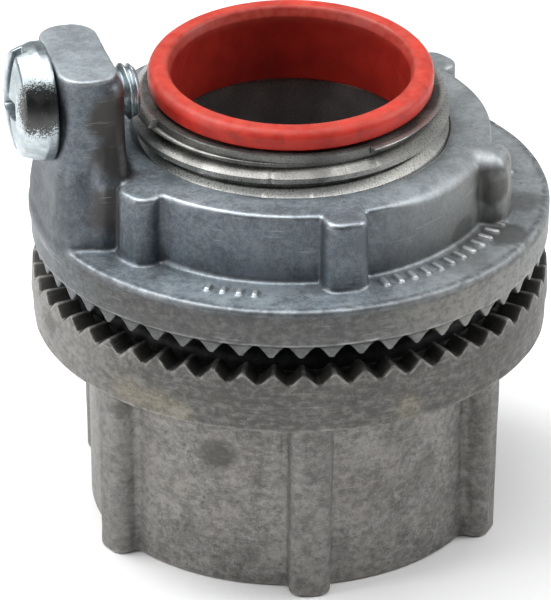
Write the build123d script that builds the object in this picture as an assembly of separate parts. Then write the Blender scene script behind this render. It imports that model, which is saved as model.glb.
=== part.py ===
from build123d import *
from math import cos, pi, radians, sin
import os

# A 3/4 inch die-cast conduit hub with its grounding locknut, standing on its conduit end.
# Millimetres, +Z up along the bore, origin at the centre of the conduit end's face.
# Compass angles are measured at the front (-Y) and grow towards +X.

# ---- pipe thread, 3/4 inch, 14 threads per inch ----
PIPE_PITCH = 25.4 / 14
PIPE_MAJOR_R = 13.28
PIPE_THREAD_DEPTH = 1.1
CONDUIT_BORE_R = 11.85          # crests of the female thread that takes the conduit
CONDUIT_MOUTH_R = 13.4
CONDUIT_DEPTH = 15.0
THROAT_R = 10.2
STOP_RISE = 1.2                 # height of the cone that stops the conduit

# ---- hub ----
BARREL_R_BOTTOM = 17.0
BARREL_R_TOP = 17.2
BARREL_EDGE = 0.3
CAST_ROUND = 0.5                # usual rounding of the castings' edges and corners
FLANGE_BOTTOM_Z = 17.5
FLANGE_BOTTOM_R = 21.72
BELT_Z = 20.05                  # parting line, the widest place of the flange
BELT_R = 21.92
HUB_TIP_Z = 23.1
HUB_TIP_R = 21.78
HUB_TOOTH_DEPTH = 1.05
HUB_FACE_Z = 21.9
TOOTH_RING_INNER_R = 19.7
NIPPLE_TOP_Z = 38.3
PILOT_R = 12.4                  # plain start of the nipple, below the thread
PILOT_HEIGHT = 0.7
PILOT_SLOPE = 0.4               # height of the cone from pilot to thread
THREAD_START = 0.6              # plain shank between the hub's face and its thread
LINER_SEAT_R = 11.15
LINER_SEAT_Z = 34.2

# ---- seal groove in the hub's face ----
GROOVE_INNER_R = 15.9
GROOVE_OUTER_R = 18.7
GROOVE_FLOOR_Z = 20.3
RING_SECTION_R = 1.25
RING_CENTRE_Z = 21.65

# ---- ribs, six on the hub and six on the locknut ----
RIB_COUNT = 6
HUB_RIB_ANGLE = 6.0
HUB_RIB_R_TOP = 1.87
HUB_RIB_R_BOTTOM = 1.75
HUB_RIB_CENTRE_R = 17.28
HUB_RIB_FOOT_Z = 0.1
NUT_RIB_ANGLE = 15.0
NUT_RIB_R = 1.95
NUT_RIB_CENTRE_R = 17.0
NUT_RIB_TOP_Z = 34.95
RIB_SINK = 0.5                  # how far a rib's end or the lug's foot sinks into its flange

# ---- teeth that bite the enclosure wall ----
TOOTH_COUNT = 54
HUB_TOOTH_ANGLE = 3.3
NUT_TOOTH_ANGLE = 2.7
TOOTH_TIP_SHARE = 0.10          # flat at a tooth's tip, as a share of the pitch
TOOTH_ROOT_SHARE = 0.12         # flat between two teeth, as a share of the pitch
OVERCUT = 0.4                   # how far a cutter runs past the metal it removes

# ---- locknut ----
NUT_TIP_Z = 24.35
NUT_ROOT_Z = 25.6
NUT_TIP_R = 21.5
NUT_FLANGE_R = 21.9
NUT_FLANGE_TOP_Z = 28.92
NUT_FLANGE_EDGE = 0.85
NUT_BOSS_R = 16.8
NUT_BOSS_TOP_Z = 35.05
NUT_BOSS_EDGE = 0.35
NUT_THREAD_CLEARANCE = 0.07
NUT_BORE_R = PIPE_MAJOR_R + NUT_THREAD_CLEARANCE
NUT_BORE_CHAMFER = 0.5

# ---- ground screw lug on the locknut ----
LUG_ANGLE = -75.0
LUG_INNER_R = 15.4
LUG_OUTER_R = 20.7
LUG_HALF_WIDTH = 5.6
LUG_CORNER = 2.2
LUG_TOP_Z = 43.85
LUG_EDGE = 0.3
PAD_HALF_WIDTH = 6.4
PAD_SHOULDER_Z = 29.8
PAD_TOP_Z = 32.9
PAD_OUTER_R = 21.7

# ---- ground screw, 10-32 ----
SCREW_Z = 39.8
SCREW_R = 4.83 / 2
SCREW_PITCH = 25.4 / 32
SCREW_THREAD_DEPTH = 0.45
SCREW_HOLE_R = SCREW_R + 0.06
SCREW_SEAT_R = 20.85            # distance of the head's underside from the axis
SCREW_LENGTH = 7.52
SCREW_TIP_CHAMFER = 0.45
HEAD_R = 5.0
HEAD_RIM_HEIGHT = 0.95
HEAD_FACE_R = 4.4               # where the head's tapered shoulder meets its domed face
HEAD_FACE_HEIGHT = 2.7
HEAD_HEIGHT = 3.4               # at the crown of its dome
HEAD_EDGE = 0.35
SLOT_WIDTH = 1.3
SLOT_DEPTH = 1.5
DRIVE_TURN = 7.0                # lean of slot and cross from the upright, degrees
CROSS_LENGTH = 4.6
CROSS_WIDTH = 1.5
CROSS_DEPTH = 1.9

# ---- insulating throat ----
LINER_BORE_R = 10.0
LINER_SKIRT_R = 11.1
LINER_FOOT_Z = 34.25
LINER_LIP_R = 12.04
LINER_LIP_FOOT_Z = 38.94
LINER_TOP_Z = 40.66
LINER_TILT = 2.06               # the lip stands higher at the back than at the front, degrees
LINER_RIM_R = 10.35
LINER_CREST_ROUND = 0.75
LINER_RIM_ROUND = 0.3
LINER_LEAD_IN = 0.8
LINER_TRIM = 0.2                # plastic left inside the lip before the bore is cut straight through it


def turned(outline, rounds=()):
    """Revolve (radius, height) points about Z. rounds lists (radius, height, fillet) for its corners."""
    face = make_face(Polyline(*outline, close=True))
    for r, z, size in rounds:
        corner = face.vertices().sort_by_distance((r, z, 0))[0]
        face = fillet(corner, size)
    return revolve(Plane.XZ * face, Axis.Z)


def thread_rings(major_r, depth, pitch, low_z, high_z):
    """Outline points of a male thread drawn as rings, from low_z up to just under high_z."""
    points = []
    count = int((high_z - low_z) / pitch)
    for i in range(count):
        z = low_z + i * pitch
        points += [
            (major_r, z + 0.10 * pitch),
            (major_r - depth, z + 0.45 * pitch),
            (major_r - depth, z + 0.55 * pitch),
            (major_r, z + 0.90 * pitch),
        ]
    return points


def facing(angle):
    """Turn a feature drawn along +X to a compass angle."""
    return Rot(0, 0, angle - 90)


def tooth_gap(tip_z, root_z, inner_r, outer_r):
    """The V between two teeth: wide at the tips, narrow at the roots, growing with the radius."""
    def section(r):
        pitch = 2 * pi * r / TOOTH_COUNT
        at_tip = pitch * (1 - TOOTH_TIP_SHARE) / 2
        at_root = pitch * TOOTH_ROOT_SHARE / 2
        slope = (at_tip - at_root) / (tip_z - root_z)
        over = OVERCUT if tip_z > root_z else -OVERCUT
        wide = at_tip + slope * over
        outline = [(-at_root, root_z), (at_root, root_z), (wide, tip_z + over), (-wide, tip_z + over)]
        plane = Plane(origin=(r, 0, 0), x_dir=(0, 1, 0), z_dir=(1, 0, 0))
        return plane * make_face(Polyline(*outline, close=True))
    return loft([section(inner_r), section(outer_r)], ruled=True)


def tooth_gaps(first_tip_angle, tip_z, root_z, inner_r, outer_r):
    """Every gap of a tooth ring; a gap lies half a pitch from a tip."""
    gap = tooth_gap(tip_z, root_z, inner_r, outer_r)
    pitch = 360 / TOOTH_COUNT
    return [facing(first_tip_angle + (i + 0.5) * pitch) * gap for i in range(TOOTH_COUNT)]


def hub_casting():
    """Barrel, flange, seal groove and nipple, turned in one outline with the bore."""
    pilot_z = NIPPLE_TOP_Z - PILOT_HEIGHT
    thread_end_z = pilot_z - PILOT_SLOPE
    outline = [
        (CONDUIT_MOUTH_R, 0),
        (BARREL_R_BOTTOM, 0),
        (BARREL_R_TOP, FLANGE_BOTTOM_Z),
        (FLANGE_BOTTOM_R, FLANGE_BOTTOM_Z),
        (BELT_R, BELT_Z),
        (HUB_TIP_R, HUB_TIP_Z),
        (TOOTH_RING_INNER_R, HUB_TIP_Z),
        (TOOTH_RING_INNER_R, HUB_FACE_Z),
        (GROOVE_OUTER_R, HUB_FACE_Z),
        (GROOVE_OUTER_R, GROOVE_FLOOR_Z),
        (GROOVE_INNER_R, GROOVE_FLOOR_Z),
        (GROOVE_INNER_R, HUB_FACE_Z),
        (PIPE_MAJOR_R, HUB_FACE_Z),
        *thread_rings(PIPE_MAJOR_R, PIPE_THREAD_DEPTH, PIPE_PITCH, HUB_FACE_Z + THREAD_START, thread_end_z),
        (PIPE_MAJOR_R, thread_end_z),
        (PILOT_R, pilot_z),
        (PILOT_R, NIPPLE_TOP_Z),
        (LINER_SEAT_R, NIPPLE_TOP_Z),
        (LINER_SEAT_R, LINER_SEAT_Z),
        (THROAT_R, LINER_SEAT_Z),
        (THROAT_R, CONDUIT_DEPTH + STOP_RISE),
        (CONDUIT_BORE_R, CONDUIT_DEPTH),
        (CONDUIT_BORE_R, CONDUIT_MOUTH_R - CONDUIT_BORE_R),
    ]
    rounds = [
        (BARREL_R_BOTTOM, 0, BARREL_EDGE),
        (FLANGE_BOTTOM_R, FLANGE_BOTTOM_Z, CAST_ROUND),
        (BELT_R, BELT_Z, CAST_ROUND),
        (BARREL_R_TOP, FLANGE_BOTTOM_Z, CAST_ROUND),
    ]
    return turned(outline, rounds)


def hub_ribs():
    """Six drafted half-round ribs down the barrel, each with a rounded foot."""
    height = FLANGE_BOTTOM_Z + RIB_SINK - HUB_RIB_FOOT_Z
    rib = Pos(HUB_RIB_CENTRE_R, 0, HUB_RIB_FOOT_Z + height / 2) * Cone(HUB_RIB_R_BOTTOM, HUB_RIB_R_TOP, height)
    foot = rib.edges().sort_by(Axis.Z)[0]
    rib = fillet(foot, CAST_ROUND)
    return [facing(HUB_RIB_ANGLE + i * 360 / RIB_COUNT) * rib for i in range(RIB_COUNT)]


def hub_body():
    """The hub: one casting with ribs, teeth, seal groove, nipple and conduit thread."""
    hub = hub_casting() + hub_ribs()
    bore = Cylinder(CONDUIT_BORE_R, FLANGE_BOTTOM_Z, align=(Align.CENTER, Align.CENTER, Align.MIN))
    keep_clear = Pos(0, 0, CONDUIT_DEPTH - FLANGE_BOTTOM_Z) * bore
    hub -= keep_clear
    root_z = HUB_TIP_Z - HUB_TOOTH_DEPTH
    hub -= tooth_gaps(HUB_TOOTH_ANGLE, HUB_TIP_Z, root_z, TOOTH_RING_INNER_R - OVERCUT, BELT_R + OVERCUT)
    return hub


def sealing_ring():
    """Rubber ring lying in the hub's face groove."""
    return Pos(0, 0, RING_CENTRE_Z) * Torus((GROOVE_INNER_R + GROOVE_OUTER_R) / 2, RING_SECTION_R)


def insulating_throat():
    """Plastic liner: a skirt pressed into the nipple and a rounded lip that leans a little over its end."""
    middle_z = (LINER_LIP_FOOT_Z + LINER_TOP_Z) / 2
    skirt = turned([
        (LINER_BORE_R, LINER_FOOT_Z),
        (LINER_SKIRT_R, LINER_FOOT_Z),
        (LINER_SKIRT_R, middle_z),
        (LINER_BORE_R, middle_z),
    ])
    lead_in_slope = LINER_LEAD_IN / (LINER_RIM_R - LINER_BORE_R)
    inner_r = LINER_BORE_R - LINER_TRIM
    outline = [
        (inner_r, LINER_LIP_FOOT_Z),
        (LINER_LIP_R, LINER_LIP_FOOT_Z),
        (LINER_LIP_R, LINER_TOP_Z),
        (LINER_RIM_R, LINER_TOP_Z),
        (inner_r, LINER_TOP_Z - LINER_LEAD_IN - LINER_TRIM * lead_in_slope),
    ]
    rounds = [
        (LINER_LIP_R, LINER_TOP_Z, LINER_CREST_ROUND),
        (LINER_RIM_R, LINER_TOP_Z, LINER_RIM_ROUND),
    ]
    lip = Pos(0, 0, middle_z) * Rot(LINER_TILT, 0, 0) * Pos(0, 0, -middle_z) * turned(outline, rounds)
    return skirt + lip - Pos(0, 0, middle_z) * Cylinder(LINER_BORE_R, LINER_TOP_Z)


def nut_casting():
    """Tooth ring, flange and boss of the locknut, turned in one outline."""
    bore_edge_r = NUT_BORE_R + NUT_BORE_CHAMFER
    outline = [
        (bore_edge_r, NUT_ROOT_Z),
        (TOOTH_RING_INNER_R, NUT_ROOT_Z),
        (TOOTH_RING_INNER_R, NUT_TIP_Z),
        (NUT_TIP_R, NUT_TIP_Z),
        (NUT_FLANGE_R, NUT_ROOT_Z),
        (NUT_FLANGE_R, NUT_FLANGE_TOP_Z),
        (NUT_BOSS_R, NUT_FLANGE_TOP_Z),
        (NUT_BOSS_R, NUT_BOSS_TOP_Z),
        (bore_edge_r, NUT_BOSS_TOP_Z),
        (NUT_BORE_R, NUT_BOSS_TOP_Z - NUT_BORE_CHAMFER),
        (NUT_BORE_R, NUT_ROOT_Z + NUT_BORE_CHAMFER),
    ]
    rounds = [
        (NUT_FLANGE_R, NUT_FLANGE_TOP_Z, NUT_FLANGE_EDGE),
        (NUT_BOSS_R, NUT_FLANGE_TOP_Z, CAST_ROUND),
        (NUT_BOSS_R, NUT_BOSS_TOP_Z, NUT_BOSS_EDGE),
    ]
    return turned(outline, rounds)


def nut_ribs():
    """Six half-round grip ribs up the boss, each with a rounded top; the lug stands between two of them."""
    foot_z = NUT_FLANGE_TOP_Z - RIB_SINK
    height = NUT_RIB_TOP_Z - foot_z
    rib = Pos(NUT_RIB_CENTRE_R, 0, foot_z + height / 2) * Cylinder(NUT_RIB_R, height)
    rib = fillet(rib.edges().sort_by(Axis.Z)[-1], CAST_ROUND)
    return [facing(NUT_RIB_ANGLE + i * 360 / RIB_COUNT) * rib for i in range(RIB_COUNT)]


def lug():
    """Upright lug for the ground screw, standing on a wider pad that is flush with the flange."""
    foot_z = NUT_FLANGE_TOP_Z - RIB_SINK
    depth = LUG_OUTER_R - LUG_INNER_R
    height = LUG_TOP_Z - foot_z
    post = extrude(RectangleRounded(depth, 2 * LUG_HALF_WIDTH, LUG_CORNER), height)
    post = Pos(LUG_INNER_R + depth / 2, 0, foot_z) * post
    post = fillet(post.edges().group_by(Axis.Z)[-1], LUG_EDGE)
    side = [
        (LUG_INNER_R, foot_z),
        (PAD_OUTER_R + OVERCUT, foot_z),
        (PAD_OUTER_R + OVERCUT, PAD_SHOULDER_Z),
        (LUG_OUTER_R, PAD_TOP_Z),
        (LUG_INNER_R, PAD_TOP_Z),
    ]
    pad = extrude(Plane.XZ * make_face(Polyline(*side, close=True)), PAD_HALF_WIDTH, both=True)
    pad &= Cylinder(PAD_OUTER_R, 4 * PAD_TOP_Z)
    return facing(LUG_ANGLE) * (post + pad)


def screw_frame(distance):
    """Plane at a distance from the bore's axis on the screw's line, facing outwards."""
    turn = radians(LUG_ANGLE)
    out = (sin(turn), -cos(turn), 0)
    along = (cos(turn), sin(turn), 0)
    return Plane(origin=(distance * out[0], distance * out[1], SCREW_Z), x_dir=along, z_dir=out)


def grounding_locknut():
    """The locknut: one casting with tooth ring, ribs, screw lug and a bore over the nipple."""
    nut = nut_casting() + nut_ribs() + lug()
    bore_height = 2 * LUG_TOP_Z
    nut -= Pos(0, 0, NUT_FLANGE_TOP_Z) * Cylinder(NUT_BORE_R, bore_height)
    nut -= screw_frame(SCREW_SEAT_R - 2) * Cylinder(SCREW_HOLE_R, 4 * SCREW_LENGTH)
    nut -= tooth_gaps(NUT_TOOTH_ANGLE, NUT_TIP_Z, NUT_ROOT_Z, TOOTH_RING_INNER_R - OVERCUT, NUT_FLANGE_R + OVERCUT)
    return nut


def screw_head():
    """Pan head with a tapered shoulder, a shallow dome, a slot right across and a shorter cross recess."""
    rim_top, face_edge = (HEAD_R, HEAD_RIM_HEIGHT), (HEAD_FACE_R, HEAD_FACE_HEIGHT)
    dome_rise = HEAD_HEIGHT - HEAD_FACE_HEIGHT
    dome_r = (HEAD_FACE_R ** 2 + dome_rise ** 2) / (2 * dome_rise)
    sides = Polyline((0, HEAD_HEIGHT), (0, 0), (HEAD_R, 0), rim_top, face_edge)
    dome = RadiusArc(face_edge, (0, HEAD_HEIGHT), -dome_r)
    profile = make_face([sides, dome])
    corners = [profile.vertices().sort_by_distance((*point, 0))[0] for point in (rim_top, face_edge)]
    head = revolve(Plane.XZ * fillet(corners, HEAD_EDGE), Axis.Z)
    slot = Box(SLOT_WIDTH, 3 * HEAD_R, 2 * SLOT_DEPTH)
    cross = Box(CROSS_LENGTH, CROSS_WIDTH, 2 * CROSS_DEPTH)
    return head - Pos(0, 0, HEAD_HEIGHT) * Rot(0, 0, DRIVE_TURN) * (slot + cross)


def ground_screw():
    """Slotted machine screw drawn along +Z with its head's underside at 0, then laid in the lug."""
    thread_foot = -SCREW_LENGTH + SCREW_TIP_CHAMFER
    outline = [
        (0, -SCREW_LENGTH),
        (SCREW_R - SCREW_TIP_CHAMFER, -SCREW_LENGTH),
        (SCREW_R, thread_foot),
        *thread_rings(SCREW_R, SCREW_THREAD_DEPTH, SCREW_PITCH, thread_foot, -SCREW_PITCH / 2),
        (SCREW_R, 0),
        (0, 0),
    ]
    return screw_frame(SCREW_SEAT_R) * (turned(outline) + screw_head())


PIECES = {
    "hub_body": hub_body,
    "sealing_ring": sealing_ring,
    "insulating_throat": insulating_throat,
    "grounding_locknut": grounding_locknut,
    "ground_screw": ground_screw,
}

os.makedirs("parts", exist_ok=True)
for name, make in PIECES.items():
    export_step(make(), f"parts/{name}.step")
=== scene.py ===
import math

import bmesh
import bpy
import numpy as np
from mathutils import Matrix, Vector


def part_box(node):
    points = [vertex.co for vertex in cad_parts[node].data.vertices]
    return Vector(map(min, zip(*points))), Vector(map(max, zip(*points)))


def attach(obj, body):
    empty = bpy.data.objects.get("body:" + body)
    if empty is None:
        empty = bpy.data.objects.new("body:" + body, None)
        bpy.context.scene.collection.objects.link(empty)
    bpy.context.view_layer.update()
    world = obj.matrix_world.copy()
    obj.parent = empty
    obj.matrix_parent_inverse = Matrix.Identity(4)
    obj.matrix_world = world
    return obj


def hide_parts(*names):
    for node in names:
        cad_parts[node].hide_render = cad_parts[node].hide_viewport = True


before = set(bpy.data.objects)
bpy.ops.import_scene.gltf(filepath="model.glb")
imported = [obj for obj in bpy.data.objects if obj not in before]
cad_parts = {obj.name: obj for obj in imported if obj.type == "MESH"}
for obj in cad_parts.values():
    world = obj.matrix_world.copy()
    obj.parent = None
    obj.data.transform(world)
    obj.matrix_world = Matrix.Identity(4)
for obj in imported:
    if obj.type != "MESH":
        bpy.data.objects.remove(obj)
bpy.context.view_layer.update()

# Shapes are worked out in millimetres on grids and turned into metres as each mesh is made.
# Compass angles are measured at the front (-Y) and grow towards +X.
MM = 0.001
TURN = 2 * math.pi


def corners_mm(node):
    """Lowest and highest corner of a CAD node, in millimetres."""
    low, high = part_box(node)
    return np.array(low) / MM, np.array(high) / MM


HUB_LOW, HUB_HIGH = corners_mm("hub_body")
NUT_LOW, NUT_HIGH = corners_mm("grounding_locknut")
LINER_LOW, LINER_HIGH = corners_mm("insulating_throat")
RING_LOW, RING_HIGH = corners_mm("sealing_ring")
SCREW_LOW, SCREW_HIGH = corners_mm("ground_screw")

# ---- grid steps ----
STEP = 0.15
HIDDEN_STEP = 0.22
TOOTH_COUNT = 54
ANGLES_PER_TOOTH = 14
SCREW_STEP = 0.085
FACES = {"hub": 190000, "nut": 190000, "screw": 90000}
SEEDS = {"hub skin": 3, "nut skin": 8, "hub teeth": 11, "nut teeth": 5, "thread": 17}
WAVES = 24
WAVE_LENGTHS = (2.5, 9.0)       # of the castings' uneven skin
HUB_WAVE_DEPTH = 0.022
NUT_WAVE_DEPTH = 0.016
THETA = np.arange(TOOTH_COUNT * ANGLES_PER_TOOTH) * TURN / (TOOTH_COUNT * ANGLES_PER_TOOTH)
EVERY_ANGLE = np.arange(len(THETA))

# ---- pipe thread ----
PIPE_PITCH = 25.4 / 14
PIPE_MAJOR_R = 13.28
PIPE_DEPTH = 1.08
CREST_HALF = 0.22               # half of the flat on a thread's crest
FLANK = 0.56                    # width of a thread's flank along the axis
CREST_Z = 36.40                 # height of the uppermost whole crest at the front
THREAD_GAP = 0.13               # clearance between the locknut's thread and the nipple's

# ---- hub ----
HUB_TOP = HUB_HIGH[2]
BARREL_FOOT_R = 17.0
BARREL_TOP_R = 17.2
BELT_R = 21.92                  # widest place of the flange
BELT_Z = 20.05
FLANGE_BOTTOM_Z = 17.5
FLANGE_BOTTOM_R = 21.72
HUB_TIP_Z = 23.1
HUB_TIP_R = 21.78
GROOVE_OUTER_R = 18.7           # groove for the seal in the hub's face
GROOVE_INNER_R = 15.9
GROOVE_FLOOR_Z = 20.3
NIPPLE_CORE_R = PIPE_MAJOR_R - PIPE_DEPTH - 0.1
SLEEVE_INNER_R = 11.9           # inside of the separate thread sleeve, within the nipple's wall
LINER_SEAT_R = 11.15
LINER_SEAT_Z = 34.2
THROAT_R = 10.2
STOP_RISE = 1.2                 # height of the cone that stops the conduit
CONDUIT_MOUTH_R = 13.4
HUB_TOOTH_DEPTH = 1.05
HUB_TOOTH_ANGLE = 3.3
TOOTH_RING_R = 19.7
HUB_FACE_Z = 21.9
THREAD_FOOT_Z = 23.0            # where the nipple's thread begins
PILOT_R = 12.4
PILOT_HEIGHT = 0.7
PILOT_WINDOW = (-62, 32)        # compass angles between which the nipple's mouth is relieved
NICK_ANGLE = -7.0               # a knock on one crest of the nipple's thread
NICK_Z = 36.4
CONDUIT_CREST_R = 11.85
CONDUIT_DEPTH = 15.0
CONDUIT_TAPER = 1 / 32          # growth of the radius for each millimetre towards the mouth
HUB_RIB_ANGLE = 6.0
NUT_RIB_ANGLE = 15.0
RIB_SPACING = 60.0
RIB_HALF_DEPTH = 2.5            # half of a rib's radial extent, most of it inside the casting
HUB_RIB_R = 19.15
HUB_RIB_HALF_WIDTH = 1.86
HUB_RIB_CORNER = 1.25
HUB_RIB_DRAFT = 0.014
NUT_RIB_R = 18.85
NUT_RIB_HALF_WIDTH = 1.85
NUT_RIB_CORNER = 1.35
NUT_RIB_DRAFT = 0.02

# ---- locknut ----
NUT_TIP_Z = NUT_LOW[2]
NUT_TIP_R = 21.5
NUT_BLANK_R = 12.3              # bore before its thread is cut
NUT_ROOT_Z = 25.6
NUT_TOOTH_ANGLE = 2.7
NUT_FLANGE_R = NUT_HIGH[0]
NUT_FLANGE_TOP = 28.92
MARK_HEIGHT = 0.24              # of the raised marks on the flange
FAR_OFF = 9.0                   # a field's value where nothing is near
NUT_BOSS_R = 16.8
NUT_BOSS_TOP = 35.05

# ---- liner ----
LINER_BORE_R = 10.0
LINER_OUTER_R = 11.1
LIP_R = 12.04
LINER_TOP = 40.66
LIP_FOOT_Z = 38.94
LIP_TILT = 0.036                # the liner's lip stands a little higher at the back than at the front

# ---- lug and ground screw ----
LUG_ANGLE = -75.0
LUG_TOP = NUT_HIGH[2]
LUG_MIDDLE_R = 18.25
LUG_HALF_DEPTH = 2.45
LUG_HALF_WIDTH = 5.6
PAD_BACK_R = 15.0
WEB_REACH = 1.9                 # how far the lug's front inner corner grows towards the next rib at its foot
SCREW_Z = (SCREW_LOW[2] + SCREW_HIGH[2]) / 2
SCREW_R = 4.83 / 2
SCREW_PITCH = 25.4 / 32
SCREW_DEPTH = 0.45
SCREW_HOLE_GAP = 0.07
SCREW_SEAT_R = 20.85            # distance of the head's underside from the bore's axis
SLOT_LEAN = 7.0                 # of the screw's slot from the vertical, in degrees
SCREW_LENGTH = 7.52
HEAD_R = 5.0
HEAD_RIM = 0.95
HEAD_FACE_R = 4.4
HEAD_FACE = 2.7
HEAD_HEIGHT = 3.4
SLOT_HALF_WIDTH = 0.65
SLOT_FLOOR = 1.75               # height of the slot's floor above the head's underside
ARM_REACH = 2.35                # of the cross recess's arm across the slot, from the middle
ARM_HALF_WIDTH = 0.75
ARM_FLOOR = 1.2


# ================ distance fields ================

def rounded(outline, pieces=6):
    """Points of a closed outline given as (radius, height, fillet), with each fillet drawn as an arc."""
    points = []
    for i, (r, z, fillet) in enumerate(outline):
        here = np.array([r, z], float)
        if not fillet:
            points.append(here)
            continue
        before = np.array(outline[i - 1][:2]) - here
        after = np.array(outline[(i + 1) % len(outline)][:2]) - here
        before /= np.linalg.norm(before)
        after /= np.linalg.norm(after)
        half = math.acos(np.clip(before @ after, -1, 1)) / 2
        middle = (before + after) / np.linalg.norm(before + after)
        centre = here + middle * fillet / math.sin(half)
        start = here + before * fillet / math.tan(half) - centre
        end = here + after * fillet / math.tan(half) - centre
        first = math.atan2(start[1], start[0])
        sweep = (math.atan2(end[1], end[0]) - first + math.pi) % TURN - math.pi
        for k in range(pieces + 1):
            angle = first + sweep * k / pieces
            points.append(centre + fillet * np.array([math.cos(angle), math.sin(angle)]))
    return np.array(points)


def outline_distance(points, r, z):
    """Signed distance to a closed outline on an r by z grid, negative inside."""
    grid_r, grid_z = np.meshgrid(r, z, indexing="ij")
    nearest = np.full(grid_r.shape, 1e9)
    inside = np.zeros(grid_r.shape, bool)
    for a, b in zip(points, np.roll(points, -1, axis=0)):
        edge = b - a
        along = ((grid_r - a[0]) * edge[0] + (grid_z - a[1]) * edge[1]) / max(edge @ edge, 1e-12)
        along = np.clip(along, 0, 1)
        off_r, off_z = grid_r - a[0] - along * edge[0], grid_z - a[1] - along * edge[1]
        nearest = np.minimum(nearest, np.hypot(off_r, off_z))
        spans = (a[1] > grid_z) != (b[1] > grid_z)
        rise = edge[1] if abs(edge[1]) > 1e-12 else 1e-12
        inside ^= spans & (grid_r < a[0] + edge[0] * (grid_z - a[1]) / rise)
    return np.where(inside, -nearest, nearest).astype(np.float32)


def join(a, b, blend):
    """Union of two fields with a fillet of about the blend's size."""
    mix = np.clip(0.5 + 0.5 * (b - a) / blend, 0, 1)
    return b + (a - b) * mix - blend * mix * (1 - mix)


def overlap(a, b, blend):
    """Common part of two fields with a rounded edge."""
    return -join(-a, -b, blend)


def rounded_box(x, y, half_x, half_y, corner):
    """Distance to a rectangle with rounded corners, centred on the origin."""
    qx, qy = np.abs(x) - half_x + corner, np.abs(y) - half_y + corner
    return np.hypot(np.maximum(qx, 0), np.maximum(qy, 0)) + np.minimum(np.maximum(qx, qy), 0) - corner


def smooth(value, low, high):
    """0 below low, 1 above high and a smooth step between."""
    t = np.clip((value - low) / (high - low), 0, 1)
    return t * t * (3 - 2 * t)


def spans(*stretches):
    """Grid lines from (start, end, step) stretches that follow each other."""
    lines = []
    for start, end, step in stretches:
        count = max(1, round((end - start) / step))
        lines.append(np.linspace(start, end, count, endpoint=False))
    lines.append([stretches[-1][1]])
    return np.concatenate(lines).astype(np.float32)


def away_from(angle, spacing=360.0):
    """Signed angle of every grid angle from the nearest of the features repeated at a spacing, in radians."""
    turn = math.radians(spacing)
    return ((THETA - math.radians(angle) + turn / 2) % turn - turn / 2).astype(np.float32)


def ridge(theta, z, crest_z, pitch, crest_half, flank):
    """1 on a right-hand thread's crests, 0 in its grooves, for angles and heights that broadcast."""
    off = np.abs((z - crest_z - pitch * theta / TURN + pitch / 2) % pitch - pitch / 2)
    return 1 - np.clip((off - crest_half) / flank, 0, 1)


def pipe_thread_r(theta, z):
    """Radius of the nipple's thread where it is whole."""
    return PIPE_MAJOR_R - PIPE_DEPTH * (1 - ridge(theta, z, CREST_Z, PIPE_PITCH, CREST_HALF, FLANK))


def tooth_height(first_tip, seed):
    """Share of a tooth's height at each grid angle, and the uneven wear of each tooth's tip."""
    pitch = TURN / TOOTH_COUNT
    place = (THETA - math.radians(first_tip)) / pitch
    off = np.abs(place - np.round(place)) * 2
    height = np.interp(off, [0, 0.10, 0.20, 0.84, 0.93, 1], [1, 0.985, 0.90, 0.09, 0.01, 0])
    draw = np.random.default_rng(seed)
    wear = draw.uniform(-0.12, 0.04, TOOTH_COUNT)[np.round(place).astype(int) % TOOTH_COUNT]
    return height.astype(np.float32), (wear * height).astype(np.float32)


# ================ meshes from fields ================

def net(field, lines, wrap):
    """Points, in grid-line units of each axis, and quads of a field's zero level (surface nets)."""
    if wrap:
        field = np.concatenate([field, field[:1]])
    sign = field < 0
    cells = tuple(n - 1 for n in field.shape)
    near = [slice(0, -1), slice(1, None)]
    ends = [(i, j, k) for i in (0, 1) for j in (0, 1) for k in (0, 1)]
    count = np.zeros(cells, np.int8)
    for i, j, k in ends:
        count += sign[near[i], near[j], near[k]]
    active = np.nonzero((count > 0) & (count < 8))
    ids = np.full(cells, -1, np.int32)
    ids[active] = np.arange(len(active[0]), dtype=np.int32)
    base = np.stack(active, 1).astype(np.float64)
    total, hits = np.zeros_like(base), np.zeros(len(base))
    for start in ends:
        for axis in range(3):
            if start[axis]:
                continue
            stop = tuple(1 if n == axis else start[n] for n in range(3))
            a = field[active[0] + start[0], active[1] + start[1], active[2] + start[2]]
            b = field[active[0] + stop[0], active[1] + stop[1], active[2] + stop[2]]
            crossed = (a < 0) != (b < 0)
            share = np.where(crossed, a / np.where(crossed, a - b, 1), 0)
            place = np.tile(np.array(start, float), (len(base), 1))
            place[:, axis] = share
            total += place * crossed[:, None]
            hits += crossed
    points = base + total / hits[:, None]
    coords = []
    for axis in range(3):
        grid = lines[axis]
        if axis == 0 and wrap:
            grid = np.append(grid, TURN)
        coords.append(np.interp(points[:, axis], np.arange(len(grid)), grid))
    quads = []
    for axis in range(3):
        first, second = (axis + 1) % 3, (axis + 2) % 3
        low = [slice(None)] * 3
        high = [slice(None)] * 3
        low[axis], high[axis] = slice(0, -1), slice(1, None)
        changed = sign[tuple(low)] != sign[tuple(high)]
        where = np.nonzero(changed)
        keep = np.ones(len(where[0]), bool)
        for other in (first, second):
            if other == 0 and wrap:
                keep &= where[other] < cells[0]
            else:
                keep &= (where[other] > 0) & (where[other] < cells[other])
        where = [w[keep] for w in where]
        falling = ~sign[tuple(where)]
        ring = []
        for back_first, back_second in ((1, 1), (0, 1), (0, 0), (1, 0)):
            at = list(where)
            at[first] = at[first] - back_first
            at[second] = at[second] - back_second
            if wrap:
                at[0] = at[0] % cells[0]
            ring.append(ids[tuple(at)])
        quad = np.stack(ring, 1)
        quad[falling] = quad[falling][:, ::-1]
        quads.append(quad)
    return coords, np.concatenate(quads)


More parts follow.
